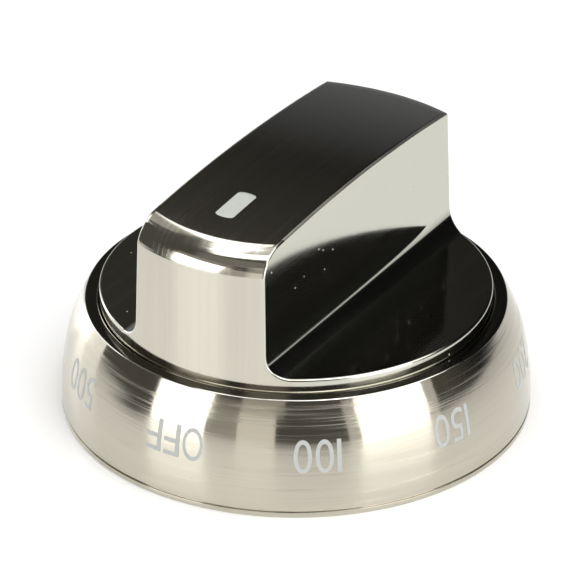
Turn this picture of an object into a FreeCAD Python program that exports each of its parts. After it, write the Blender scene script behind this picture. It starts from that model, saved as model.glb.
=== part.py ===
import FreeCAD, Part
import math
import os

V = FreeCAD.Vector
axis_up = V(0, 0, 1)
centre = V(0, 0, 0)
over = 1.0               # cutting tools reach this far past the piece
near = 1e-5

# Oven control knob. Millimetres and degrees, +Z out of the panel, pointer towards -Y.

# Dial skirt
skirt_foot_d = 60.4      # widest diameter, at the foot
flare_in = 3.2           # foot in to the ledge's outer edge
ledge_w = 1.71           # ledge's outer edge in to the rebate
ledge_z = 14.9           # ledge above the panel
skirt_wall = 1.3
flare_r = 39.4           # flare's lower arc, upright at the foot
flare_turn = 10.0        # lower arc's sweep, before the tighter upper arc
ledge_break = 0.2        # chamfer on both edges of the ledge
foot_lip_h = 0.7         # plain lip under the crease
crease_h = 0.25
crease_depth = 0.2
seat_drop = 1.3          # ledge down to the seat that carries the body
seat_t = 1.2
seat_w = 2.8             # seat's reach inwards from its rebate

# Grip body
rim_h = 1.8              # ledge up to the scoops' floor
rim_gap = 0.14           # rim clear of the ledge's inner edge, each side
total_h = 34.2
grip_w = 19.05           # grip's thickness where its walls meet the scoop floor
draft = 1.65
scoop_r = 2.8            # hollow radius between grip wall and scoop floor
crown_r = 237.0          # top's curve along the grip
nose_r = 4.1             # roll over the pointer end
nose_line = 0.12         # roll starts this far outside the end face, which leaves a crisp line
edge_break = 0.3         # chamfer round each scoop and on the back's top edge
grip_wall = 2.2          # sides and top of the cored grip
spigot_wall = 2.0
spigot_gap = 0.15        # spigot clear of the hole in the seat, each side
key_w = 3.0              # lug that stops the skirt from turning on the body
key_reach = 1.0
key_gap = 0.1

# Pointer mark
mark_len = 6.3
mark_w = 2.6
mark_bulge = 0.3         # how far its ends curve out
mark_corner = 0.3
mark_out = 13.7          # mark's centre from the knob's axis
mark_shift = -0.5        # and from the middle plane, as it is set on this knob
mark_depth = 0.3

# Hub insert
shaft_d = 6.0
shaft_across_flat = 4.6
lead_in_gap = 0.25       # round mouth clear of the shaft, each side
socket_gap = 0.05        # D socket clear of the shaft, each side
lead_in_len = 6.0
socket_len = 13.0
hub_wall = 3.2
hub_end_t = 1.6          # closed end above the socket
hub_setback = 2.0        # hub's mouth above the panel
plate_t = 2.0
plate_grip = 2.3         # plate's reach under the seat
rib_count = 6
rib_t = 1.4
rib_h = 1.5
drive_rib_t = 2.0
drive_rib_h = 8.0
drive_rib_gap = 0.15     # drive ribs clear of the cored walls
long_rib_reach = 13.0    # drive ribs along the grip, from the axis

# Shaft spring
leaf_t = 0.4
leaf_w = 3.2
leaf_bow = 0.5
leaf_gap = 0.1           # leaf clear of its pocket, each side
pocket_depth = 0.6
pocket_sill = 0.6        # hub left standing at each end of the pocket

# Screws
screw_spread = 27.0      # between the two screws
screw_d = 2.5
screw_bite = 3.0         # depth in the body
pilot_gap = 0.04
shank_gap = 0.3          # plate's hole round the shank
head_d = 5.2
head_h = 1.8
head_break = 0.5
recess_len = 3.0
recess_w = 0.7
recess_depth = 1.0

# Worked out from the sizes above
foot_r = skirt_foot_d / 2
shoulder_r = foot_r - flare_in
rebate_r = shoulder_r - ledge_w
rim_r = rebate_r - rim_gap
floor_z = ledge_z + rim_h
seat_z = ledge_z - seat_drop
seat_under_z = seat_z - seat_t
seat_hole_r = rebate_r - seat_w
spigot_r = seat_hole_r - spigot_gap
core_r = spigot_r - spigot_wall
crease_z = foot_lip_h + crease_h
shoulder_z = ledge_z - ledge_break
plate_r = seat_hole_r + plate_grip
plate_z = seat_under_z - plate_t
shaft_r = shaft_d / 2
lead_in_r = shaft_r + lead_in_gap
socket_r = shaft_r + socket_gap
socket_flat = shaft_across_flat - shaft_r + socket_gap
hub_r = lead_in_r + hub_wall
socket_z = hub_setback + lead_in_len
socket_top = socket_z + socket_len
hub_top = socket_top + hub_end_t
pocket_z = socket_z + pocket_sill
pocket_top = socket_top - pocket_sill
screw_x = screw_spread / 2
screw_r = screw_d / 2
pilot_r = screw_r + pilot_gap
lean_rate = math.tan(math.radians(draft))


# Half thickness of the drafted grip at a height, taken in by an inset
def grip_half(z, inset=0.0):
    return grip_w / 2 - inset - lean_rate * (z - floor_z)


# Solid of revolution from a list of (radius, height) points
def turned(points):
    corners = [V(r, 0, z) for r, z in points]
    wire = Part.makePolygon(corners + corners[:1])
    return Part.Face(wire).revolve(centre, axis_up, 360)


# Edges of a shape whose middle passes a test
def edges_where(shape, test):
    found = []
    for edge in shape.Edges:
        middle = edge.valueAt((edge.FirstParameter + edge.LastParameter) / 2)
        if test(edge, middle):
            found.append(edge)
    return found


# Block between two corners
def block(low, high):
    size = high - low
    return Part.makeBox(size.x, size.y, size.z, low)


# Unit vector in the XZ plane at an angle up from +X
def slant(degrees):
    angle = math.radians(degrees)
    return V(math.cos(angle), 0, math.sin(angle))


# Arc about a centre in the XZ plane, from one angle to another
def xz_arc(middle, radius, start, end):
    points = [middle + slant(a) * radius for a in (start, (start + end) / 2, end)]
    return Part.Arc(*points).toShape()


# Centres and radii of the flare's two arcs, which meet smoothly, and the height where they meet
def flare_arcs():
    low_middle = V(foot_r - flare_r, 0, crease_z)
    join = low_middle + slant(flare_turn) * flare_r
    chord = V(shoulder_r, 0, shoulder_z) - join
    upper_r = -chord.dot(chord) / (2 * chord.dot(slant(flare_turn)))
    return low_middle, flare_r, join - slant(flare_turn) * upper_r, upper_r, join.z


# Outer radius of the flare at a height
def flare_radius(z):
    low_middle, low_r, high_middle, high_r, join_z = flare_arcs()
    middle, radius = (low_middle, low_r) if z < join_z else (high_middle, high_r)
    return middle.x + math.sqrt(radius ** 2 - (z - middle.z) ** 2)


# Solid under the skirt's flare, from the foot to the ledge
def flare_solid():
    low_middle, low_r, high_middle, high_r, join_z = flare_arcs()
    shoulder_turn = math.degrees(math.asin((shoulder_z - high_middle.z) / high_r))
    arcs = [xz_arc(low_middle, low_r, 0, flare_turn),
            xz_arc(high_middle, high_r, flare_turn, shoulder_turn)]
    rest = Part.makePolygon([V(shoulder_r, 0, shoulder_z), V(shoulder_r - ledge_break, 0, ledge_z),
                             V(0, 0, ledge_z), centre, V(foot_r, 0, 0), V(foot_r, 0, crease_z)])
    return Part.Face(Part.Wire(arcs + rest.Edges)).revolve(centre, axis_up, 360)


# Drafted hollow under the seat, the skirt's wall in from the flare at its top and at the foot
def skirt_hollow():
    top_r = flare_radius(seat_under_z) - skirt_wall
    return turned([(0, 0), (foot_r - skirt_wall, 0), (top_r, seat_under_z), (0, seat_under_z)])


# Ring cut into the foot, with a plain lip left under it
def foot_crease():
    inner = foot_r - crease_depth
    outer = foot_r + skirt_wall
    return turned([(inner, foot_lip_h), (outer, foot_lip_h), (outer, crease_z), (inner, crease_z)])


# Lug on the spigot, or the notch for it in the seat when given a gap
def index_key(gap=0.0):
    half = key_w / 2 + gap
    reach = spigot_r + key_reach + gap
    return block(V(-half, 0, seat_under_z), V(half, reach, seat_z))


# Flared skirt with its ledge, rebate and seat
def dial_skirt():
    skirt = flare_solid().cut(skirt_hollow())
    skirt = skirt.cut(Part.makeCylinder(rebate_r, seat_drop, V(0, 0, seat_z)))
    skirt = skirt.cut(Part.makeCylinder(seat_hole_r, seat_t, V(0, 0, seat_under_z)))
    skirt = skirt.cut(foot_crease())
    skirt = skirt.cut(index_key(key_gap))

    def rebate_edge(edge, mid):
        return abs(mid.z - ledge_z) < near and math.hypot(mid.x, mid.y) < rebate_r + near

    return skirt.makeChamfer(ledge_break, edges_where(skirt, rebate_edge))


# Turned blank of the body: spigot, rim in the skirt's rebate and drafted side, grown outwards if asked
def body_blank(grown=0.0):
    rim = rim_r + grown
    top_z = total_h + over
    top_r = rim - lean_rate * (top_z - ledge_z)
    return turned([(0, seat_under_z), (spigot_r, seat_under_z), (spigot_r, seat_z), (rim, seat_z),
                   (rim, ledge_z), (top_r, top_z), (0, top_z)])


# Tool for one scoop: a drafted wall, a hollow corner and a flat floor, drawn along the grip
def scoop(side):
    tilt = math.radians(draft)
    corner_x = grip_w / 2 + scoop_r * (1 - math.sin(tilt)) / math.cos(tilt)
    corner = V(corner_x, 0, floor_z + scoop_r)
    normal = V(math.cos(tilt), 0, math.sin(tilt))
    on_wall = corner - normal * scoop_r
    on_floor = corner - axis_up * scoop_r
    bisector = (normal + axis_up).normalize()
    bend = Part.Arc(on_wall, corner - bisector * scoop_r, on_floor).toShape()
    high = total_h + over
    far_x = rim_r + over
    rest = Part.makePolygon([on_floor, V(far_x, 0, floor_z), V(far_x, 0, high),
                             V(grip_half(high), 0, high), on_wall])
    tool = Part.Face(Part.Wire([bend] + rest.Edges)).extrude(V(0, 2 * far_x, 0))
    tool.translate(V(0, -far_x, 0))
    if side < 0:
        tool = tool.mirror(centre, V(1, 0, 0))
    return tool


# Solid under the crowned top, lowered by a depth and as wide as asked
def under_crown(depth, half_width):
    apex = total_h - depth
    radius = crown_r - depth
    end_y = rim_r + over
    end_z = apex - radius + math.sqrt(radius ** 2 - end_y ** 2)
    crown = Part.Arc(V(0, -end_y, end_z), V(0, 0, apex), V(0, end_y, end_z)).toShape()
    rest = Part.makePolygon([V(0, end_y, end_z), V(0, end_y, 0), V(0, -end_y, 0), V(0, -end_y, end_z)])
    solid = Part.Face(Part.Wire([crown] + rest.Edges)).extrude(V(2 * half_width, 0, 0))
    solid.translate(V(-half_width, 0, 0))
    return solid


# Outside of the body: scooped, crowned, rolled at the pointer end and eased on its edges
def body_outside():
    scoops = [scoop(1), scoop(-1)]
    body = body_blank(nose_line).common(under_crown(0, rim_r + nose_line))
    for tool in scoops:
        body = body.cut(tool)

    def top_end(mid, toward):
        return mid.y * toward > rim_r / 2 and mid.z > total_h - nose_r and abs(mid.x) < grip_w / 4

    nose = edges_where(body, lambda edge, mid: top_end(mid, -1))
    body = body.makeFillet(nose_r, nose).common(body_blank())

    def outline_edge(edge, mid):
        straight = edge.Curve.TypeId == "Part::GeomLine"
        at_back = top_end(mid, 1)
        on_scoop = min(tool.distToShape(Part.Vertex(mid))[0] for tool in scoops) < near
        return at_back or (on_scoop and not straight)

    return body.makeChamfer(edge_break, edges_where(body, outline_edge))


# Core of the grip, open below
def grip_core():
    low = seat_under_z
    high = total_h
    corners = [V(-grip_half(low, grip_wall), 0, low), V(grip_half(low, grip_wall), 0, low),
               V(grip_half(high, grip_wall), 0, high), V(-grip_half(high, grip_wall), 0, high)]
    prism = Part.Face(Part.makePolygon(corners + corners[:1])).extrude(V(0, 2 * core_r, 0))
    prism.translate(V(0, -core_r, 0))
    round_ends = Part.makeCylinder(core_r, total_h)
    return prism.common(round_ends).common(under_crown(grip_wall, rim_r))


# Curved end of the mark's outline, on the side of its middle that way points to
def mark_end(middle, way):
    half = mark_w / 2
    corner_y = way * (mark_len / 2 - mark_bulge)
    points = [V(-half, corner_y, 0), V(0, way * mark_len / 2, 0), V(half, corner_y, 0)]
    return Part.Arc(*[middle + point for point in points]).toShape()


# Upright prism over the pointer mark's outline
def mark_prism():
    floor = total_h - crown_r + math.sqrt(crown_r ** 2 - (mark_out + mark_len / 2) ** 2) - mark_depth
    middle = V(mark_shift, -mark_out, floor)
    back, front = mark_end(middle, 1), mark_end(middle, -1)
    left, right = (Part.makeLine(a.Point, b.Point) for a, b in zip(back.Vertexes, front.Vertexes))
    outline = Part.Wire([back, right, front, left])
    prism = Part.Face(outline).extrude(V(0, 0, total_h - floor + over))
    upright = edges_where(prism, lambda edge, mid: floor + near < mid.z < total_h + over - near)
    return prism.makeFillet(mark_corner, upright)


# Both places of the screws
def screw_places():
    return [V(-screw_x, 0, 0), V(screw_x, 0, 0)]


# Die-cast body with its core, screw pilots, index lug and pocket for the mark
def grip_body():
    body = body_outside().fuse(index_key()).cut(grip_core())
    for place in screw_places():
        body = body.cut(Part.makeCylinder(pilot_r, screw_bite, place + V(0, 0, seat_under_z)))
    return body.cut(mark_prism()).removeSplitter()


# Filling of the mark, flush with the crowned top
def pointer_mark():
    return mark_prism().common(under_crown(0, rim_r))


# Round mouth, D socket and spring pocket, as one tool
def shaft_hole():
    mouth = Part.makeCylinder(lead_in_r, lead_in_len, V(0, 0, hub_setback))
    socket = Part.makeCylinder(socket_r, socket_len, V(0, 0, socket_z))
    flat = block(V(-hub_r, socket_flat, socket_z), V(hub_r, hub_r, socket_top))
    half = leaf_w / 2 + leaf_gap
    pocket = block(V(-half, 0, pocket_z), V(half, socket_flat + pocket_depth, pocket_top))
    return mouth.fuse(socket.cut(flat)).fuse(pocket)


# Low stiffening ribs under the plate, from the hub to the plate's edge
def plate_ribs():
    ribs = []
    for k in range(rib_count):
        rib = block(V(0, -rib_t / 2, plate_z - rib_h), V(plate_r, rib_t / 2, plate_z))
        rib.rotate(centre, axis_up, 360 * (k + 0.5) / rib_count)
        ribs.append(rib.common(Part.makeCylinder(plate_r, total_h)))
    return ribs


# Ribs above the plate that turn the grip by the walls of its core
def drive_ribs():
    top = seat_under_z + drive_rib_h
    across = grip_half(top, grip_wall + drive_rib_gap)
    half = drive_rib_t / 2
    return [block(V(-across, -half, plate_z), V(across, half, top)),
            block(V(-half, -long_rib_reach, plate_z), V(half, long_rib_reach, top))]


# Moulded insert: plate, ribs, and a hub with the shaft's socket
def hub_insert():
    insert = Part.makeCylinder(plate_r, plate_t, V(0, 0, plate_z))
    hub = Part.makeCylinder(hub_r, hub_top - hub_setback, V(0, 0, hub_setback))
    insert = insert.fuse([hub] + plate_ribs() + drive_ribs()).removeSplitter()
    for place in screw_places():
        insert = insert.cut(Part.makeCylinder(screw_r + shank_gap, plate_t, place + V(0, 0, plate_z)))
    return insert.cut(shaft_hole())


# Bowed leaf of spring steel, its ends on the back of the pocket
def shaft_spring():
    back = socket_flat + pocket_depth
    low_z = pocket_z + leaf_gap
    high_z = pocket_top - leaf_gap
    mid_z = (low_z + high_z) / 2
    outer = Part.Arc(V(0, back, low_z), V(0, back - leaf_bow, mid_z), V(0, back, high_z)).toShape()
    front = back - leaf_t
    inner = Part.Arc(V(0, front, high_z), V(0, front - leaf_bow, mid_z), V(0, front, low_z)).toShape()
    ends = [Part.makeLine(V(0, back, high_z), V(0, front, high_z)),
            Part.makeLine(V(0, front, low_z), V(0, back, low_z))]
    wire = Part.Wire([outer, ends[0], inner, ends[1]])
    leaf = Part.Face(wire).extrude(V(leaf_w, 0, 0))
    leaf.translate(V(-leaf_w / 2, 0, 0))
    return leaf


# One pan-head screw with a cross recess, head under the plate
def screw(place):
    head = Part.makeCylinder(head_d / 2, head_h, V(0, 0, plate_z - head_h))
    lower = edges_where(head, lambda edge, mid: edge.Closed and mid.z < plate_z - head_h / 2)
    head = head.makeChamfer(head_break, lower)
    shank = Part.makeCylinder(screw_r, plate_t + screw_bite, V(0, 0, plate_z))
    made = head.fuse(shank).removeSplitter()
    for length, width in ((recess_len, recess_w), (recess_w, recess_len)):
        low = V(-length / 2, -width / 2, plate_z - head_h)
        made = made.cut(block(low, low + V(length, width, recess_depth)))
    made.translate(place)
    return made


# Two like screws as one group
def insert_screws():
    return Part.makeCompound([screw(place) for place in screw_places()])


pieces = {
    "grip_body": grip_body,
    "dial_skirt": dial_skirt,
    "pointer_mark": pointer_mark,
    "hub_insert": hub_insert,
    "shaft_spring": shaft_spring,
    "insert_screws": insert_screws,
}

os.makedirs("parts", exist_ok=True)
for name, make in pieces.items():
    shape = make()
    shape.exportStep("parts/" + name + ".step")
    print(name, "solids", len(shape.Solids), "volume", round(shape.Volume, 1), "valid", shape.isValid())
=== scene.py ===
import bpy
import bmesh
import math
import numpy as np
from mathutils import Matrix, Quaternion, Vector


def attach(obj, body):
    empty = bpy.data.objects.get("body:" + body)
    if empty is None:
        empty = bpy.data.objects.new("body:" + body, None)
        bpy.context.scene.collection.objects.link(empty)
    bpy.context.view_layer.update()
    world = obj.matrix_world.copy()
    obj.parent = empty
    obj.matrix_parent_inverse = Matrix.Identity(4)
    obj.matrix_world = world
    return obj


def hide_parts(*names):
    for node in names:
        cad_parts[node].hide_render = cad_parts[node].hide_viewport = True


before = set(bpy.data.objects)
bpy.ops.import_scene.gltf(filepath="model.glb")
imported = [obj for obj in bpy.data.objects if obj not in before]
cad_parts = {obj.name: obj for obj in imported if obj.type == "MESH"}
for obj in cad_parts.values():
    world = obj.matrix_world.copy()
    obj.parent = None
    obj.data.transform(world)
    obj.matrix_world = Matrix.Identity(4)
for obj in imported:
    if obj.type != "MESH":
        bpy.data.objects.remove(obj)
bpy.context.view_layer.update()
scene = bpy.context.scene
mm = 0.001


# Helpers that several pieces use

def newObject(name, verts, faces, materials, faceMaterials=None):
    mesh = bpy.data.meshes.new(name)
    mesh.from_pydata([tuple(c * mm for c in v) for v in verts], [], faces)
    for material in materials:
        mesh.materials.append(material)
    if faceMaterials:
        mesh.polygons.foreach_set("material_index", faceMaterials)
    mesh.polygons.foreach_set("use_smooth", [True] * len(mesh.polygons))
    mesh.update()
    obj = bpy.data.objects.new(name, mesh)
    scene.collection.objects.link(obj)
    return obj


def weightNormals(obj):  # large faces keep their own normal, the small roundings turn between them
    weighted = obj.modifiers.new("weightedNormal", "WEIGHTED_NORMAL")
    weighted.mode = "FACE_AREA"
    weighted.weight = 60


def rounded(corners, steps=5):  # path through (r, z, radius) corners, each rounded off
    path = []
    for k, (x, z, radius) in enumerate(corners):
        here = np.array((x, z))
        before = np.array(corners[k - 1][:2]) - here
        after = np.array(corners[(k + 1) % len(corners)][:2]) - here
        if radius == 0:
            path.append(tuple(here))
            continue
        before /= np.linalg.norm(before)
        after /= np.linalg.norm(after)
        half = math.acos(np.clip(before @ after, -1, 1)) / 2
        centre = here + (before + after) / np.linalg.norm(before + after) * radius / math.sin(half)
        start = here + before * radius / math.tan(half) - centre
        end = here + after * radius / math.tan(half) - centre
        turn = math.acos(np.clip(start @ end / radius ** 2, -1, 1))
        for j in range(steps + 1):
            t = j / steps
            swing = start * math.sin((1 - t) * turn) + end * math.sin(t * turn)
            path.append(tuple(centre + swing / math.sin(turn)))
    return path


def lathe(path, segments):  # vertices and faces of a closed path turned about Z
    angles = np.linspace(0, 2 * math.pi, segments, endpoint=False)
    verts = [(r * math.cos(a), r * math.sin(a), z) for a in angles for r, z in path]
    count = len(path)
    faces = []
    for i in range(segments):
        a, b = i * count, (i + 1) % segments * count
        for j in range(count):
            k = (j + 1) % count
            faces.append((a + j, b + j, b + k, a + k))
    return verts, faces


# Small steps for building node trees

def feed(tree, socket, value):  # links another socket, or sets a plain value
    if isinstance(value, bpy.types.NodeSocket):
        tree.links.new(value, socket)
    else:
        socket.default_value = value


def mathNode(tree, operation, *values):
    node = tree.nodes.new("ShaderNodeMath")
    node.operation = operation
    for socket, value in zip(node.inputs, values):
        feed(tree, socket, value)
    return node.outputs[0]


def summed(tree, a, shareOfA, b, shareOfB):  # both times their shares, added
    partA = mathNode(tree, "MULTIPLY", a, shareOfA)
    return mathNode(tree, "ADD", partA, mathNode(tree, "MULTIPLY", b, shareOfB))


def held(tree, value):  # kept between 0 and 1
    return mathNode(tree, "MINIMUM", mathNode(tree, "MAXIMUM", value, 0.0), 1.0)


def combine(tree, x, y, z):
    node = tree.nodes.new("ShaderNodeCombineXYZ")
    for socket, value in zip(node.inputs, (x, y, z)):
        feed(tree, socket, value)
    return node.outputs[0]


def noiseAt(tree, vector, detail):
    node = tree.nodes.new("ShaderNodeTexNoise")
    node.inputs["Scale"].default_value = 1.0
    node.inputs["Detail"].default_value = detail
    tree.links.new(vector, node.inputs["Vector"])
    return node.outputs["Fac"]


def tinted(tree, factor, dark, light):  # mix of two colours, either of which may be a socket
    mix = tree.nodes.new("ShaderNodeMix")
    mix.data_type = "RGBA"
    tree.links.new(factor, mix.inputs["Factor"])
    for name, colour in (("A", dark), ("B", light)):
        feed(tree, mix.inputs[name], colour if isinstance(colour, bpy.types.NodeSocket) else (*colour, 1))
    return mix.outputs["Result"]


def bumpInto(tree, shader, height, distance):
    bump = tree.nodes.new("ShaderNodeBump")
    bump.inputs["Strength"].default_value = 1.0
    bump.inputs["Distance"].default_value = distance
    tree.links.new(height, bump.inputs["Height"])
    tree.links.new(bump.outputs["Normal"], shader.inputs["Normal"])


# Shared surface effects, as node groups

brushMix = dict(bandPitch=0.21, fineShare=0.55, bandShare=0.45, bandLayer=4.7, deepFrom=0.5, deepSharp=6.0)
speckRadius = 0.09  # share of a dust cell


def groupSockets(group, inputs, outputs):
    for name, kind, value in inputs:
        socket = group.interface.new_socket(name, in_out="INPUT", socket_type=kind)
        socket.default_value = value
    for name, kind in outputs:
        group.interface.new_socket(name, in_out="OUTPUT", socket_type=kind)
    return group.nodes.new("NodeGroupInput").outputs, group.nodes.new("NodeGroupOutput").inputs


def brushGroup(b):  # fine lines along one way, with wider bands among them
    group = bpy.data.node_groups.new("brushLines", "ShaderNodeTree")
    given, result = groupSockets(group, [
        ("Across", "NodeSocketFloat", 0.0), ("Along", "NodeSocketFloat", 0.0),
        ("Line Pitch", "NodeSocketFloat", 0.0002), ("Line Length", "NodeSocketFloat", 0.02),
        ("Roughness", "NodeSocketFloat", 0.2), ("Roughness Spread", "NodeSocketFloat", 0.1),
    ], [("Height", "NodeSocketFloat"), ("Roughness", "NodeSocketFloat"), ("Tone", "NodeSocketFloat")])
    across = mathNode(group, "DIVIDE", given["Across"], given["Line Pitch"])
    along = mathNode(group, "DIVIDE", given["Along"], given["Line Length"])
    fine = noiseAt(group, combine(group, across, along, 0.0), 2.0)
    wideAcross = mathNode(group, "MULTIPLY", across, b["bandPitch"])
    wide = noiseAt(group, combine(group, wideAcross, along, b["bandLayer"]), 1.0)
    both = summed(group, fine, b["fineShare"], wide, b["bandShare"])
    group.links.new(both, result["Height"])
    deep = mathNode(group, "MULTIPLY", mathNode(group, "SUBTRACT", both, b["deepFrom"]), b["deepSharp"])
    # the deepest lines scatter most
    swing = mathNode(group, "MULTIPLY", held(group, deep), given["Roughness Spread"])
    group.links.new(mathNode(group, "ADD", given["Roughness"], swing), result["Roughness"])
    group.links.new(wide, result["Tone"])
    return group


def inSteps(tree, position, size):  # a position counted in steps of a size
    node = tree.nodes.new("ShaderNodeVectorMath")
    node.operation = "DIVIDE"
    tree.links.new(position, node.inputs[0])
    tree.links.new(combine(tree, size, size, size), node.inputs[1])
    return node.outputs[0]


def wearGroup():  # faint smears and a few specks of dust on a handled surface
    group = bpy.data.node_groups.new("handledSurface", "ShaderNodeTree")
    given, result = groupSockets(group, [
        ("Position", "NodeSocketVector", (0.0, 0.0, 0.0)), ("Smear Size", "NodeSocketFloat", 0.006),
        ("Speck Size", "NodeSocketFloat", 0.0012), ("Speck Share", "NodeSocketFloat", 0.02),
    ], [("Smear", "NodeSocketFloat"), ("Specks", "NodeSocketFloat")])
    smears = inSteps(group, given["Position"], given["Smear Size"])
    group.links.new(noiseAt(group, smears, 3.0), result["Smear"])
    cells = group.nodes.new("ShaderNodeTexVoronoi")
    cells.inputs["Scale"].default_value = 1.0
    group.links.new(inSteps(group, given["Position"], given["Speck Size"]), cells.inputs["Vector"])
    near = mathNode(group, "LESS_THAN", cells.outputs["Distance"], speckRadius)
    tone = group.nodes.new("ShaderNodeSeparateColor")
    group.links.new(cells.outputs["Color"], tone.inputs[0])
    chosen = mathNode(group, "LESS_THAN", tone.outputs[0], given["Speck Share"])
    group.links.new(mathNode(group, "MULTIPLY", near, chosen), result["Specks"])
    return group


brushLines = brushGroup(brushMix)
handledSurface = wearGroup()


def placeGroup(tree, group, **values):
    node = tree.nodes.new("ShaderNodeGroup")
    node.node_tree = group
    for name, value in values.items():
        feed(tree, node.inputs[name.replace("_", " ")], value)
    return node.outputs


# Finishes that several pieces share, each with the piece's own values

def newMaterial(name):
    material = bpy.data.materials.new(name)
    material.use_nodes = True
    tree = material.node_tree
    shader = next(n for n in tree.nodes if n.type == "BSDF_PRINCIPLED")
    position = tree.nodes.new("ShaderNodeTexCoord").outputs["Object"]
    split = tree.nodes.new("ShaderNodeSeparateXYZ")
    tree.links.new(position, split.inputs[0])
    return material, tree, shader, position, split.outputs


def brushAt(tree, across, along, look):
    return placeGroup(tree, brushLines, Across=across, Along=along,
                      Line_Pitch=look["pitch"], Line_Length=look["length"],
                      Roughness=look["roughness"], Roughness_Spread=look["spread"])


def brushedMetal(tree, shader, across, along, look):
    lines = brushAt(tree, across, along, look)
    shader.inputs["Metallic"].default_value = 1.0
    tree.links.new(tinted(tree, lines["Tone"], look["dark"], look["light"]), shader.inputs["Base Color"])
    tree.links.new(lines["Roughness"], shader.inputs["Roughness"])
    bumpInto(tree, shader, lines["Height"], look["depth"])


def drawOut(tree, shader, axis, amount):  # reflections stretched across the brush lines
    shader.inputs["Anisotropic"].default_value = amount
    shader.inputs["Anisotropic Rotation"].default_value = 0.25
    tangent = tree.nodes.new("ShaderNodeTangent")
    tangent.axis = axis
    tree.links.new(tangent.outputs[0], shader.inputs["Tangent"])


def smearedFinish(name, look, metallic=0.0):  # one tone, a little cloudy from handling
    material, tree, shader, position, axes = newMaterial(name)
    shader.inputs["Metallic"].default_value = metallic
    smear = placeGroup(tree, handledSurface, Position=position, Smear_Size=look["smear"])["Smear"]
    tree.links.new(tinted(tree, smear, look["dark"], look["light"]), shader.inputs["Base Color"])
    rough = mathNode(tree, "ADD", mathNode(tree, "MULTIPLY", smear, look["spread"]), look["roughness"])
    tree.links.new(rough, shader.inputs["Roughness"])
    if "depth" in look:
        bumpInto(tree, shader, smear, look["depth"])
    return material


# Dial skirt: the flare, ledge, rebate, seat and hollow as one turned ring

skirtRing = dict(
    footR=30.2, shoulderR=27.0, ledgeZ=14.9, shoulderZ=14.7, lowArcR=39.4, lowArcTurn=10.0,
    lipZ=0.7, creaseZ=0.95, creaseDepth=0.2, rebateR=25.29, seatZ=13.6, seatUnderZ=12.4,
    seatHoleR=22.49, wall=1.3, hollowTop=0.84, shoulderInset=0.06, segments=384, flareSteps=28,
    flatDepth=0.01, edgeDepth=0.25,  # how far under the ledge its flat and its edges reach
    # radii of the small roundings
    edge=0.22, footEdge=0.12, lipEdge=0.06, grooveEdge=0.03, creaseEdge=0.04, seatEdge=0.1, hollowEdge=0.6,
    flareLook=dict(aroundR=0.029, pitch=0.0002, length=0.02, roughness=0.1, spread=0.2, depth=0.000006,
                   dark=(0.49, 0.462, 0.39), light=(0.57, 0.537, 0.455), drawn=0.9),
    # the ledge's low base colour, about half the flare's, is painted shade on the ring between grip and
    # shoulder
    ledgeLook=dict(aroundR=0.026, pitch=0.00015, length=0.03, roughness=0.09, spread=0.06, depth=0.000001,
                   dark=(0.23, 0.223, 0.195), light=(0.29, 0.282, 0.248)),
    # the ledge edges are buffed smooth, and their base colour, lighter than the flare's, is a painted
    # highlight
    edgeLook=dict(smear=0.004, roughness=0.05, spread=0.06,
                  dark=(0.6, 0.585, 0.53), light=(0.7, 0.685, 0.63)),
)


def flareArcs(s):
    turn = math.radians(s["lowArcTurn"])
    lowCentre = np.array((s["footR"] - s["lowArcR"], s["creaseZ"]))
    out = np.array((math.cos(turn), math.sin(turn)))
    join = lowCentre + out * s["lowArcR"]
    chord = np.array((s["shoulderR"], s["shoulderZ"])) - join
    highR = -(chord @ chord) / (2 * (chord @ out))
    highCentre = join - out * highR
    endTurn = math.asin((s["shoulderZ"] - highCentre[1]) / highR)
    return lowCentre, highCentre, highR, turn, endTurn


def flarePoint(s, run):  # point and outward direction at a length along the flare, from the crease up
    lowCentre, highCentre, highR, turn, endTurn = flareArcs(s)
    lowRun = s["lowArcR"] * turn
    if run < lowRun:
        angle, centre, radius = run / s["lowArcR"], lowCentre, s["lowArcR"]
    else:
        angle, centre, radius = turn + (run - lowRun) / highR, highCentre, highR
    out = np.array((math.cos(angle), math.sin(angle)))
    return centre + out * radius, out


def flareLength(s):
    lowCentre, highCentre, highR, turn, endTurn = flareArcs(s)
    return s["lowArcR"] * turn + highR * (endTurn - turn)


def skirtPath(s):
    length = flareLength(s)
    steps = s["flareSteps"]
    flare = [tuple(flarePoint(s, length * k / steps)[0]) + (0,) for k in range(1, steps)]
    hollowR = flarePoint(s, length * s["hollowTop"])[0][0] - s["wall"]
    groove = s["footR"] - s["creaseDepth"]
    return rounded([
        (s["footR"], 0.0, s["footEdge"]), (s["footR"], s["lipZ"], s["lipEdge"]),
        (groove, s["lipZ"], s["grooveEdge"]), (groove, s["creaseZ"], s["grooveEdge"]),
        (s["footR"], s["creaseZ"], s["creaseEdge"]), *flare,
        (s["shoulderR"] - s["shoulderInset"], s["ledgeZ"], s["edge"]), (s["rebateR"], s["ledgeZ"], s["edge"]),
        (s["rebateR"], s["seatZ"], s["seatEdge"]), (s["seatHoleR"], s["seatZ"], s["seatEdge"]),
        (s["seatHoleR"], s["seatUnderZ"], s["seatEdge"]), (hollowR, s["seatUnderZ"], s["hollowEdge"]),
        (s["footR"] - s["wall"], 0.0, s["footEdge"]),
    ])


def aboutAxis(tree, x, y, radius):  # distance from the axis, and length round it at a radius
    out = mathNode(tree, "SQRT", summed(tree, x, x, y, y))
    return out, mathNode(tree, "MULTIPLY", mathNode(tree, "ARCTAN2", y, x), radius)


def flareFinish(look):  # brushed round the axis
    material, tree, shader, position, (x, y, z) = newMaterial("brushedSkirt")
    out, around = aboutAxis(tree, x, y, look["aroundR"])
    brushedMetal(tree, shader, mathNode(tree, "SUBTRACT", z, out), around, look)
    drawOut(tree, shader, "Z", look["drawn"])
    return material


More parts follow.
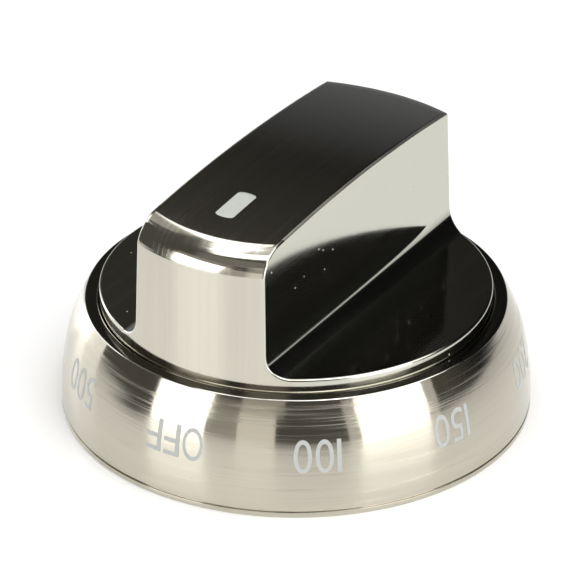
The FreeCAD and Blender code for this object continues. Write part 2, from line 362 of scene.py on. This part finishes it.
def ledgeFinish(look):  # cut bright, with the turning's fine lines; its base colour kept dark as painted shade on the ledge between grip and shoulder
    material, tree, shader, position, (x, y, z) = newMaterial("polishedLedgePaintedShade")
    out, around = aboutAxis(tree, x, y, look["aroundR"])
    brushedMetal(tree, shader, out, around, look)
    return material


def skirtFinishes(s, path):  # finish of each face: 0 flare, 1 ledge with its colour painted shade, 2 the ledge's two edges with their colour a painted highlight
    kinds = []
    for (r0, z0), (r1, z1) in zip(path, path[1:] + path[:1]):
        below = s["ledgeZ"] - min(z0, z1)
        kinds.append(1 if below < s["flatDepth"] else 2 if below < s["edgeDepth"] else 0)
    return kinds * s["segments"]


ringPath = skirtPath(skirtRing)
skirtVerts, skirtFaces = lathe(ringPath, skirtRing["segments"])
skirtMaterials = [
    flareFinish(skirtRing["flareLook"]), ledgeFinish(skirtRing["ledgeLook"]),
    # the ledge's two edges: low roughness, with a lighter base colour as painted highlight
    smearedFinish("buffedLedgeEdgePaintedHighlight", skirtRing["edgeLook"], 1.0),
]
skirt = newObject("skirtRing", skirtVerts, skirtFaces, skirtMaterials, skirtFinishes(skirtRing, ringPath))
weightNormals(skirt)
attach(skirt, "root")
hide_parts("dial_skirt")
print("skirt made", len(skirtFaces), "faces")


# Grip body: a strip over the nose, top and back between two scoops, all edges rounded

gripBody = dict(
    rimR=25.15, rimZ=14.9, floorZ=16.7, topZ=34.197, halfWidth=9.525, draft=1.65, scoopR=2.8, crownR=237.0,
    noseR=4.1, noseLine=0.12, backR=0.45, edgeR=0.32, seatZ=13.6, spigotR=22.34, spigotZ=12.4, coreR=20.34,
    coreZ=15.0, rimLineZ=16.2, seatEdge=0.1, spigotEdge=0.2,
    upperZ=30.0,  # height near the top at which the bar's width is taken
    rollGap=0.08,  # the face's last row stays this far under the roll
    columns=48, edgeSteps=5, rimSteps=120, hollowSteps=14, wallSteps=14, noseSteps=30, backSteps=6,
    topSteps=40,
    topLook=dict(pitch=0.00008, length=0.03, roughness=0.09, spread=0.08, depth=0.0000005,
                 dark=(0.54, 0.515, 0.442), light=(0.592, 0.566, 0.487), drawn=0.8),
    sideLook=dict(pitch=0.00025, length=0.03, roughness=0.09, spread=0.05, clean=(0.58, 0.575, 0.507),
                  dust=(0.7, 0.7, 0.68), dustRoughness=0.6, speck=0.0013, speckShare=0.09),
    edgeLook=dict(smear=0.004, roughness=0.26, spread=0.12, dark=(0.6, 0.58, 0.51), light=(0.66, 0.64, 0.57)),
)
tilt = math.radians(gripBody["draft"])
lean = math.tan(tilt)


def unit(v):
    v = np.asarray(v, float)
    return v / np.linalg.norm(v)


def coneRadius(z):
    return gripBody["rimR"] - lean * (z - gripBody["rimZ"])


def crownHeight(y):
    r = gripBody["crownR"]
    return gripBody["topZ"] - r + math.sqrt(r * r - y * y)


def scoopAt(run):  # (x, z), direction up the section and normal, at a length from the floor's end
    g = gripBody
    r = g["scoopR"]
    middle = np.array((g["halfWidth"] + r * (1 - math.sin(tilt)) / math.cos(tilt), g["floorZ"] + r))
    bend = math.pi / 2 - tilt
    if run < 0:
        return middle + (-run, -r), np.array((-1.0, 0.0)), np.array((0.0, 1.0))
    if run < r * bend:
        a = 1.5 * math.pi - run / r
        out = np.array((math.cos(a), math.sin(a)))
        return middle + out * r, np.array((out[1], -out[0])), -out
    normal = np.array((math.cos(tilt), math.sin(tilt)))
    up = np.array((-math.sin(tilt), math.cos(tilt)))
    return middle - normal * r + up * (run - r * bend), up, normal


hollowRun = gripBody["scoopR"] * (math.pi / 2 - tilt)


def wallX(z):
    return gripBody["halfWidth"] - lean * (z - gripBody["floorZ"])


upperX = wallX(gripBody["upperZ"])
upperR = coneRadius(gripBody["upperZ"])


def rollPoint(end, angle, share):  # point on the roll between end face and top, in the plane at an angle
    r, line = (gripBody["backR"], 0.0) if end > 0 else (gripBody["noseR"], gripBody["noseLine"])
    slope = math.cos(angle)
    centreR, centreZ = upperR - r, gripBody["topZ"] - r
    for k in range(12):
        topR = centreR
        for j in range(3):
            drop = slope * slope * topR / math.sqrt(gripBody["crownR"] ** 2 - (slope * topR) ** 2)
            fall = math.atan(drop)
            topR = centreR + r * math.sin(fall)
        centreZ = crownHeight(slope * topR) - r * math.cos(fall)
        centreR = coneRadius(centreZ) + line - r / math.cos(tilt)
    first = tilt + math.acos(1 - line * math.cos(tilt) / r)
    a = first + (math.pi / 2 - fall - first) * share
    radius = centreR + r * math.cos(a)
    return np.array((radius * math.sin(angle), end * radius * math.cos(angle), centreZ + r * math.sin(a)))


def rollAt(end, share, x):  # the same, at a given x
    angle = math.asin(x / upperR)
    for k in range(12):
        p = rollPoint(end, angle, share)
        angle = math.asin(x / math.hypot(p[0], p[1]))
    return rollPoint(end, angle, share)


def rollNormal(end, share, x):
    step = 0.01
    sideways = rollAt(end, share, x + step) - rollAt(end, share, x - step)
    high, low = min(share + step, 1), max(share - step, 0)
    upward = rollAt(end, high, x) - rollAt(end, low, x)
    normal = unit(np.cross(sideways, upward))
    return normal if normal[2] > 0 else -normal


def facePoint(end, x, z):
    return np.array((x, end * math.sqrt(coneRadius(z) ** 2 - x * x), z))


def faceNormal(p):
    flat = unit((p[0], p[1], 0))
    return unit((flat[0], flat[1], lean))


def outlineRows():  # each row over the strip: kind, its share, the edge point, both normals
    g = gripBody
    wallNormal = np.array((math.cos(tilt), 0, math.sin(tilt)))

    def faceRows(end):
        top = rollAt(end, 0, upperX)[2]
        wallRun = hollowRun + (top - scoopAt(hollowRun)[0][1]) / math.cos(tilt)
        runs = list(np.linspace(0, hollowRun, g["hollowSteps"] + 1))
        runs += list(np.linspace(hollowRun, wallRun, g["wallSteps"] + 1)[1:-1]) + [wallRun - g["rollGap"]]
        found = []
        for run in runs:
            (x, z), up, normal = scoopAt(run)
            p = facePoint(end, x, z)
            climb = max(0.0, (run - hollowRun) / (wallRun - hollowRun))
            found.append(("face", end, (run, climb), p, faceNormal(p), np.array((normal[0], 0, normal[1]))))
        return found

    def rollRows(end, steps):
        found = []
        for share in np.linspace(0, 1, steps + 1):
            x = upperX
            for k in range(4):
                p = rollAt(end, share, x)
                x = wallX(p[2])
            found.append(("roll", end, share, rollAt(end, share, x), rollNormal(end, share, x), wallNormal))
        return found

    rows = faceRows(-1) + rollRows(-1, g["noseSteps"])
    back = rollRows(1, g["backSteps"])
    y0, y1 = rows[-1][3][1], back[-1][3][1]
    for t in np.linspace(0, 1, g["topSteps"] + 1)[1:-1]:
        y = y0 + (y1 - y0) * t
        z = crownHeight(y)
        normal = unit((0, y / math.sqrt(g["crownR"] ** 2 - y * y), 1))
        rows.append(("top", 0, t, np.array((wallX(z), y, z)), normal, wallNormal))
    return rows + back[::-1] + faceRows(1)[::-1]


def roundEdge(p, capNormal, sideNormal, along):  # both ends of a rounding and the points between
    r = gripBody["edgeR"]
    steps = gripBody["edgeSteps"]
    turn = math.acos(np.clip(capNormal @ sideNormal, -1, 1))
    setback = r * math.tan(turn / 2)
    inCap = np.cross(capNormal, along)
    inCap = unit(inCap if inCap @ sideNormal < 0 else -inCap)
    inSide = np.cross(sideNormal, along)
    inSide = unit(inSide if inSide @ capNormal < 0 else -inSide)
    middle = p + inCap * setback - capNormal * r
    arc = []
    for k in range(1, steps):
        t = k / steps
        swing = capNormal * math.sin((1 - t) * turn) + sideNormal * math.sin(t * turn)
        arc.append(middle + r * swing / math.sin(turn))
    return p + inCap * setback, arc, inSide * setback


def gripSurface():  # vertices, faces and each face's finish: 0 brushed, 1 polished, 2 buffed edge
    g = gripBody
    verts, faces, finish = [], [], []

    def add(p):
        verts.append(tuple(p))
        return len(verts) - 1

    def patch(face, kind):
        faces.append(face)
        finish.append(kind)

    rows = outlineRows()
    edge = [row[3] for row in rows]
    tipAngle = math.atan2(edge[0][1], edge[0][0])
    floorR = coneRadius(g["floorZ"])
    sweep = np.linspace(-tipAngle, tipAngle, g["rimSteps"] + 1)[1:-1]
    arcPoints = [np.array((floorR * math.cos(a), floorR * math.sin(a), g["floorZ"])) for a in sweep]
    loop = edge + arcPoints
    kinds = [(row[0], row[2], row[4], row[5]) for row in rows]
    kinds += [("rim", 0, faceNormal(p), np.array((0, 0, 1.0))) for p in arcPoints]

    capEdge, arcs, sideEdge = [], [], []
    for k, p in enumerate(loop):
        along = unit(loop[(k + 1) % len(loop)] - loop[k - 1])
        kind, share, capNormal, sideNormal = kinds[k]
        capPoint, arc, inward = roundEdge(p, capNormal, sideNormal, along)
        if kind == "face" or kind == "rim":
            flat = unit((capPoint[0], capPoint[1], 0))
            capPoint = flat * coneRadius(capPoint[2]) + (0, 0, capPoint[2])
        if kind == "face":
            (x, z), up, normal = scoopAt(share[0])
            (x, z), up, normal = scoopAt(share[0] + inward[0] * up[0] + inward[2] * up[1])
            side = np.array((x, p[1] + inward[1], z))
        else:
            side = p + inward
        capEdge.append(capPoint)
        arcs.append(arc)
        sideEdge.append(side)

    # the strip over nose, top and back
    shares = np.linspace(-1, 1, g["columns"] + 1)
    grid = []
    for k, row in enumerate(rows):
        kind, end, share = row[:3]
        reach = capEdge[k][0]
        line = []
        for c in shares:
            x = c * reach
            if kind == "face":  # rows spread so that the last one meets the roll
                rise = rollAt(end, 0, min(abs(x), upperX))[2] - rollAt(end, 0, upperX)[2]
                p = facePoint(end, x, capEdge[k][2] + rise * share[1])
            elif kind == "roll":
                p = rollAt(end, share, x)
            else:
                front, backEnd = rollAt(-1, 1, x)[1], rollAt(1, 1, x)[1]
                y = front + (backEnd - front) * share
                p = np.array((x, y, crownHeight(y)))
            line.append(add(p))
        grid.append(line)
    for a, b in zip(grid, grid[1:]):
        for j in range(g["columns"]):
            patch((a[j], a[j + 1], b[j + 1], b[j]), 0)

    # roundings and scoops on both sides
    rings = []
    bends = g["hollowSteps"] + 1
    last = len(rows) - 1
    for side in (1, -1):
        mirror = np.array((side, 1, 1))
        column = -1 if side > 0 else 0
        cap = [line[column] for line in grid]
        cap += [add(capEdge[k] * mirror) for k in range(len(rows), len(loop))]
        inner = [[add(p * mirror) for p in arc] for arc in arcs]
        wall = [add(p * mirror) for p in sideEdge]
        strip = [[cap[k], *inner[k], wall[k]] for k in range(len(loop))]
        for k in range(len(loop)):
            a, b = strip[k], strip[(k + 1) % len(loop)]
            soft = 2 if kinds[k][0] == "top" else 1
            for j in range(len(a) - 1):
                quad = (a[j], a[j + 1], b[j + 1], b[j])
                patch(quad if side > 0 else quad[::-1], soft)
        for k in range(bends - 1):
            quad = (wall[k], wall[last - k], wall[last - k - 1], wall[k + 1])
            patch(quad if side > 0 else quad[::-1], 1)
        top = tuple(wall[bends - 1:last - bends + 2])
        floor = tuple([wall[last]] + wall[len(rows):] + [wall[0]])
        patch(top[::-1] if side > 0 else top, 1)
        patch(floor[::-1] if side > 0 else floor, 1)
        rings.append(cap[len(rows):])

    # the rim below, down into the skirt, with the spigot under it
    ring = grid[0] + rings[0][::-1] + grid[-1][::-1] + rings[1]
    below = rounded([
        (coneRadius(g["rimLineZ"]), g["rimLineZ"], 0), (g["rimR"], g["rimZ"], 0),
        (g["rimR"], g["seatZ"], g["seatEdge"]), (g["spigotR"], g["seatZ"], g["seatEdge"]),
        (g["spigotR"], g["spigotZ"], g["spigotEdge"]), (g["coreR"], g["spigotZ"], g["spigotEdge"]),
        (g["coreR"], g["coreZ"], 0),
    ])
    previous = ring
    for r, z in below:
        current = []
        for index in ring:
            flat = unit((verts[index][0], verts[index][1], 0))
            current.append(add(flat * r + (0, 0, z)))
        for k in range(len(ring)):
            j = (k + 1) % len(ring)
            underEnd = k < len(grid[0]) or 0 <= k - len(grid[0]) - len(rings[0]) < len(grid[-1])
            patch((previous[j], previous[k], current[k], current[j]), 0 if underEnd else 1)
        previous = current
    return verts, faces, finish


def topFinish(look):  # brushed along the grip, over the nose and down the end faces
    material, tree, shader, position, (x, y, z) = newMaterial("brushedGrip")
    brushedMetal(tree, shader, x, mathNode(tree, "SUBTRACT", y, z), look)
    drawOut(tree, shader, "X", look["drawn"])
    return material


def sideFinish(look):  # polished lengthways on walls, scoops and rim, with a little dust
    material, tree, shader, position, (x, y, z) = newMaterial("polishedGrip")
    lines = brushAt(tree, mathNode(tree, "ADD", x, z), y, look)
    specks = placeGroup(tree, handledSurface, Position=position, Speck_Size=look["speck"],
                        Speck_Share=look["speckShare"])["Specks"]
    tree.links.new(mathNode(tree, "SUBTRACT", 1.0, specks), shader.inputs["Metallic"])
    tree.links.new(tinted(tree, specks, look["clean"], look["dust"]), shader.inputs["Base Color"])
    dust = mathNode(tree, "MULTIPLY", specks, look["dustRoughness"])
    tree.links.new(mathNode(tree, "ADD", lines["Roughness"], dust), shader.inputs["Roughness"])
    return material


gripVerts, gripFaces, gripFinish = gripSurface()
gripMaterials = [
    topFinish(gripBody["topLook"]), sideFinish(gripBody["sideLook"]),
    smearedFinish("buffedEdge", gripBody["edgeLook"], 1.0),  # softer on the top's long edges
]
grip = newObject("gripBody", gripVerts, gripFaces, gripMaterials, gripFinish)
weightNormals(grip)
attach(grip, "root")
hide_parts("grip_body")
print("grip made", len(gripFaces), "faces")


# Pointer mark: pale filling along the top, ends a little bulged

markFilling = dict(
    length=6.3, width=2.6, bulge=0.3, corner=0.3, outward=13.7, shift=-0.5, lift=0.012, depth=0.2,
    flatSteps=8, cornerSteps=6, rows=16,
    look=dict(smear=0.0007, roughness=0.35, spread=0.2, depth=0.00001,
              dark=(0.475, 0.5, 0.465), light=(0.55, 0.575, 0.54)),
)


def markSurface(m):
    half = m["width"] / 2
    flat = half - m["corner"]
    rows = m["rows"]
    turns = np.linspace(0, math.pi / 2, m["cornerSteps"] + 1)[1:]
    across = list(np.linspace(0, flat, m["flatSteps"] + 1))
    across += [flat + m["corner"] * math.sin(a) for a in turns]
    across = [-x for x in across[:0:-1]] + across
    verts, faces = [], []
    for x in across:
        corner = m["corner"] - math.sqrt(max(0, m["corner"] ** 2 - max(0, abs(x) - flat) ** 2))
        reach = m["length"] / 2 - m["bulge"] * (x / half) ** 2 - corner
        for k in range(rows + 1):
            y = -m["outward"] + reach * (2 * k / rows - 1)
            verts.append((x + m["shift"], y, crownHeight(y) + m["lift"]))
    count = rows + 1
    for i in range(len(across) - 1):
        for k in range(rows):
            a = i * count + k
            faces.append((a, a + count, a + count + 1, a + 1))
    last = (len(across) - 1) * count
    border = list(range(0, last + 1, count)) + list(range(last + 1, last + count))
    border += list(range(last - count + rows, 0, -count)) + list(range(rows - 1, 0, -1))
    low = len(verts)
    verts += [(verts[k][0], verts[k][1], verts[k][2] - m["depth"]) for k in border]
    for k in range(len(border)):
        j = (k + 1) % len(border)
        faces.append((border[j], border[k], low + k, low + j))
    faces.append(tuple(range(low, low + len(border)))[::-1])
    return verts, faces


markVerts, markFaces = markSurface(markFilling)
mark = newObject("markFilling", markVerts, markFaces, [smearedFinish("paleFilling", markFilling["look"])])
weightNormals(mark)
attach(mark, "root")
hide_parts("pointer_mark")
print("mark made", len(markFaces), "faces")


# Dial print: OFF and plain numbers round the skirt, tops towards the foot

dialPrint = dict(
    words=["OFF"] + [str(n) for n in range(100, 501, 50)],
    pitch=36.0, capHeight=4.3, baseRun=9.55, bendR=29.4, lift=0.012, thickness=0.012,
    narrow={"O": 0.6, "F": 0.97, "1": 0.9}, otherNarrow=0.83, gap=0.42, cut=0.6,
    look=dict(smear=0.0004, roughness=0.4, spread=0.2, dark=(0.45, 0.465, 0.455), light=(0.53, 0.545, 0.535)),
)


def letterMesh(letter):  # outline of one letter, filled
    curve = bpy.data.curves.new("letter", "FONT")
    curve.body = letter
    curve.resolution_u = 6
    obj = bpy.data.objects.new("letter", curve)
    scene.collection.objects.link(obj)
    bpy.context.view_layer.update()
    mesh = bpy.data.meshes.new_from_object(obj.evaluated_get(bpy.context.evaluated_depsgraph_get()))
    bpy.data.objects.remove(obj)
    bpy.data.curves.remove(curve)
    return mesh


def flatWord(text, d):  # the word as a flat mesh in millimetres, cut fine enough to bend
    work = bmesh.new()
    reach = 0.0
    for letter in text:
        mesh = letterMesh(letter)
        corners = [v.co for v in mesh.vertices]
        size = d["capHeight"] / max(c.y for c in corners)
        wide = size * d["narrow"].get(letter, d["otherNarrow"])
        left, right = min(c.x for c in corners), max(c.x for c in corners)
        for v in mesh.vertices:
            v.co = Vector((reach + (v.co.x - left) * wide, v.co.y * size, 0))
        reach += (right - left) * wide + d["gap"]
        work.from_mesh(mesh)
        bpy.data.meshes.remove(mesh)
    for v in work.verts:
        v.co.x -= (reach - d["gap"]) / 2
    bmesh.ops.remove_doubles(work, verts=work.verts, dist=1e-4)
    low, high = (f(v.co.x for v in work.verts) for f in (min, max))
    for axis, first, last in ((0, low, high), (1, 0, d["capHeight"])):
        for k in range(1, int((last - first) / d["cut"]) + 1):
            point, normal = [0, 0, 0], [0, 0, 0]
            point[axis], normal[axis] = first + k * d["cut"], 1
            everything = list(work.verts) + list(work.edges) + list(work.faces)
            bmesh.ops.bisect_plane(work, geom=everything, plane_co=point, plane_no=normal)
    return work


def bendWord(work, angle, d):  # onto the flare, centred at an angle from the pointer
    for v in work.verts:
        point, out = flarePoint(skirtRing, d["baseRun"] - v.co.y)
        point = point + out * (d["lift"] + v.co.z)
        turn = math.radians(angle) - v.co.x / d["bendR"]
        v.co = Vector((point[0] * math.sin(turn), -point[0] * math.cos(turn), point[1])) * mm


def makePrint(d):
    joined = bpy.data.meshes.new("dialPrint")
    words = bmesh.new()
    for k, text in enumerate(d["words"]):
        word = flatWord(text, d)
        bendWord(word, k * d["pitch"], d)
        piece = bpy.data.meshes.new("piece")
        word.to_mesh(piece)
        words.from_mesh(piece)
        bpy.data.meshes.remove(piece)
        word.free()
    words.to_mesh(joined)
    words.free()
    joined.materials.append(smearedFinish("greyInk", d["look"]))
    obj = bpy.data.objects.new("dialPrint", joined)
    scene.collection.objects.link(obj)
    film = obj.modifiers.new("inkFilm", "SOLIDIFY")
    film.thickness = d["thickness"] * mm
    film.offset = 0
    return obj


ink = makePrint(dialPrint)
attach(ink, "root")
print("print made", len(ink.data.polygons), "faces")


# Hidden side: the moulded insert, its spring and screws keep their CAD shapes

hiddenLooks = dict(
    moulding=dict(smear=0.0006, roughness=0.4, spread=0.25, depth=0.00003,
                  dark=(0.012, 0.012, 0.013), light=(0.03, 0.03, 0.031)),
    spring=dict(pitch=0.0001, length=0.004, roughness=0.25, spread=0.15, depth=0.000002,
                dark=(0.42, 0.42, 0.42), light=(0.55, 0.55, 0.54)),
    screw=dict(pitch=0.0001, length=0.004, roughness=0.3, spread=0.15, depth=0.000002,
               dark=(0.5, 0.5, 0.51), light=(0.62, 0.62, 0.64)),
)


def steelFinish(name, look):
    material, tree, shader, position, (x, y, z) = newMaterial(name)
    brushedMetal(tree, shader, x, z, look)
    return material


hiddenFinishes = {
    "hub_insert": smearedFinish("blackMoulding", hiddenLooks["moulding"]),
    "shaft_spring": steelFinish("rolledSpring", hiddenLooks["spring"]),
    "insert_screws": steelFinish("zincScrew", hiddenLooks["screw"]),
}
for node, material in hiddenFinishes.items():
    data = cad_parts[node].data
    data.materials.clear()
    data.materials.append(material)
print("hidden pieces finished")


# Studio: pale floor, soft lights and the camera

studio = dict(
    room=(0.1, 0.096, 0.085), behind=(0.007, 0.007, 0.007), aheadFrom=0.7, aheadLeft=0.3, aheadSharp=2.86,
    glow=(0.2, 0.21, 0.23), glowFrom=-150, glowAcross=2.2, glowDown=3.2, glowStart=0.5,
    floorReach=6.0, floorTone=0.92, floorGloss=0.25, floorGlow=0.155,
    litGlow=1.2, darkTone=0.12, darkGlow=0.01,
    # azimuth in degrees, half width as a share of the distance, start in metres
    litSector=(-96, 0.155, 0.04), darkSector=(-46.5, 0.22, 0.08), sectorSoft=1.4, sectorRise=30.0,
    boxes=[  # name, azimuth, elevation, width, height and turn in degrees, distance, brightness, tint
        ("windowLeft", -27, 12, 28.5, 32, 0, 1.6, 2.4, (1, 1, 1)),
        ("windowHalo", -26.5, 14, 32, 43, 0, 1.7, 0.2, (1, 0.97, 0.9)),
        ("panelFront", 12, 2, 18, 38, 0, 1.6, 0.74, (1, 0.97, 0.9)),
        ("panelAbove", 14, 30, 20, 18, 0, 1.65, 0.3, (1, 0.97, 0.9)),
        ("ceilingFront", -10, 46, 40, 22, 0, 1.75, 0.12, (1, 0.97, 0.9)),
        ("ceilingLeft", -122, 49, 26, 15, 0, 1.75, 0.28, (1, 0.99, 0.96)),
        ("panelGap", -4, 6, 14, 34, 0, 1.75, 0.28, (1, 0.97, 0.9)),
        ("windowRight", 79, 12, 35, 32, 0, 1.6, 2.0, (1, 0.99, 0.96)),
        ("windowRightSide", 79, 11, 47, 34, 0, 1.7, 0.5, (1, 0.99, 0.96)),
        ("wallLeft", -98, 13, 34, 30, 0, 1.6, 1.0, (1, 1, 0.98)),
        ("windowFar", -106, 39, 22, 11, 0, 1.6, 1.7, (1, 1, 1)),
        ("windowFarLow", -102, 13, 10, 28, 0, 1.55, 1.4, (1, 1, 1)),
        ("overheadLeft", -131.3, 56.7, 32, 7, 61, 1.3, 2.1, (1, 1, 1)),
        ("overheadSide", -87, 69.5, 22, 8, 3, 1.3, 2.1, (1, 1, 1)),
        ("overheadFront", 0, 75.5, 46, 18, 13, 1.3, 2.0, (1, 1, 1)),
        ("overheadBack", 180, 73, 38, 46, 0, 1.3, 0.62, (1, 1, 1)),
        ("overheadRight", 90, 60, 56, 40, 0, 1.3, 2.0, (1, 1, 1)),
    ],
)


def towards(azimuth, elevation):  # direction out from the knob, azimuth counted from the pointer
    a, e = math.radians(azimuth), math.radians(elevation)
    return Vector((math.sin(a) * math.cos(e), -math.cos(a) * math.cos(e), math.sin(e)))


def softBox(name, azimuth, elevation, width, height, turn, distance, brightness, tint):
    data = bpy.data.lights.new(name, "AREA")
    data.shape = "RECTANGLE"
    data.size = 2 * distance * math.tan(math.radians(width / 2))
    data.size_y = 2 * distance * math.tan(math.radians(height / 2))
    data.energy = brightness * 4 * data.size * data.size_y
    data.color = tint
    light = bpy.data.objects.new(name, data)
    scene.collection.objects.link(light)
    away = towards(azimuth, elevation)
    light.location = away * distance
    facing = away.to_track_quat("Z", "Y") @ Quaternion((0, 0, 1), math.radians(turn))
    light.rotation_euler = facing.to_euler()
    light.visible_camera = False


def outAlong(tree, x, y, azimuth):  # how far a place lies out in a direction
    a = math.radians(azimuth)
    return summed(tree, x, math.sin(a), y, -math.cos(a))


def floorSector(tree, x, y, s, azimuth, width, start):  # 1 in a sector of the board, 0 outside, soft between
    out = outAlong(tree, x, y, azimuth)
    side = mathNode(tree, "ABSOLUTE", outAlong(tree, x, y, azimuth + 90))
    spread = mathNode(tree, "DIVIDE", side, mathNode(tree, "MAXIMUM", out, 0.001))
    narrow = mathNode(tree, "MULTIPLY", spread, s["sectorSoft"] / width)
    within = mathNode(tree, "SUBTRACT", s["sectorSoft"], narrow)
    beyond = mathNode(tree, "MULTIPLY", mathNode(tree, "SUBTRACT", out, start), s["sectorRise"])
    return held(tree, mathNode(tree, "MINIMUM", within, beyond))


def makeFloor(s):
    mesh = bpy.data.meshes.new("paleFloor")
    r = s["floorReach"]
    mesh.from_pydata([(-r, -r, 0), (r, -r, 0), (r, r, 0), (-r, r, 0)], [], [(0, 1, 2, 3)])
    floor = bpy.data.objects.new("paleFloor", mesh)
    scene.collection.objects.link(floor)
    material, tree, shader, position, (x, y, z) = newMaterial("paleBoard")
    shader.inputs["Roughness"].default_value = s["floorGloss"]
    lit = floorSector(tree, x, y, s, *s["litSector"])
    dark = floorSector(tree, x, y, s, *s["darkSector"])
    tone = tinted(tree, dark, [s["floorTone"]] * 3, [s["darkTone"]] * 3)
    tree.links.new(tone, shader.inputs["Base Color"])
    glow = tinted(tree, dark, [s["floorGlow"]] * 3, [s["darkGlow"]] * 3)
    tree.links.new(tinted(tree, lit, glow, [s["litGlow"]] * 3), shader.inputs["Emission Color"])
    shader.inputs["Emission Strength"].default_value = 1.0
    mesh.materials.append(material)


def makeWorld(s):  # dim room, dark behind with a pale glow low down, and white where the camera sees it
    world = bpy.data.worlds.new("studio")
    scene.world = world
    world.use_nodes = True
    tree = world.node_tree
    split = tree.nodes.new("ShaderNodeSeparateXYZ")
    tree.links.new(tree.nodes.new("ShaderNodeTexCoord").outputs["Generated"], split.inputs[0])
    x, y, z = split.outputs
    low = summed(tree, outAlong(tree, x, y, s["glowFrom"]), s["glowAcross"], z, -s["glowDown"])
    glowing = held(tree, mathNode(tree, "SUBTRACT", low, s["glowStart"]))
    leftward = mathNode(tree, "MULTIPLY", mathNode(tree, "MINIMUM", x, 0.0), s["aheadLeft"])
    ahead = mathNode(tree, "SUBTRACT", mathNode(tree, "SUBTRACT", s["aheadFrom"], y), leftward)
    ahead = held(tree, mathNode(tree, "MULTIPLY", ahead, s["aheadSharp"]))
    room = tinted(tree, glowing, tinted(tree, ahead, s["behind"], s["room"]), s["glow"])
    cameraRay = tree.nodes.new("ShaderNodeLightPath").outputs["Is Camera Ray"]
    tree.links.new(tinted(tree, cameraRay, room, (1, 1, 1)), tree.nodes["Background"].inputs["Color"])


makeFloor(studio)
makeWorld(studio)
for box in studio["boxes"]:
    softBox(*box)
print("studio made", len(studio["boxes"]), "soft boxes")

photoView = dict(
    lens=283.80, sensor=36, distance=0.586735, azimuth=30.794, elevation=30.481, left=0.001056, up=0.013665,
)


def makeCamera(v):
    data = bpy.data.cameras.new("photoCamera")
    data.lens = v["lens"]
    data.sensor_width = v["sensor"]
    camera = bpy.data.objects.new("photoCamera", data)
    scene.collection.objects.link(camera)
    back = towards(v["azimuth"], v["elevation"])
    right = towards(v["azimuth"] + 90, 0)
    target = back.cross(right) * v["up"] - right * v["left"]
    camera.location = back * v["distance"]
    camera.rotation_euler = (target - camera.location).to_track_quat("-Z", "Y").to_euler()
    scene.camera = camera


makeCamera(photoView)
scene.view_settings.view_transform = "Standard"
print("camera set")
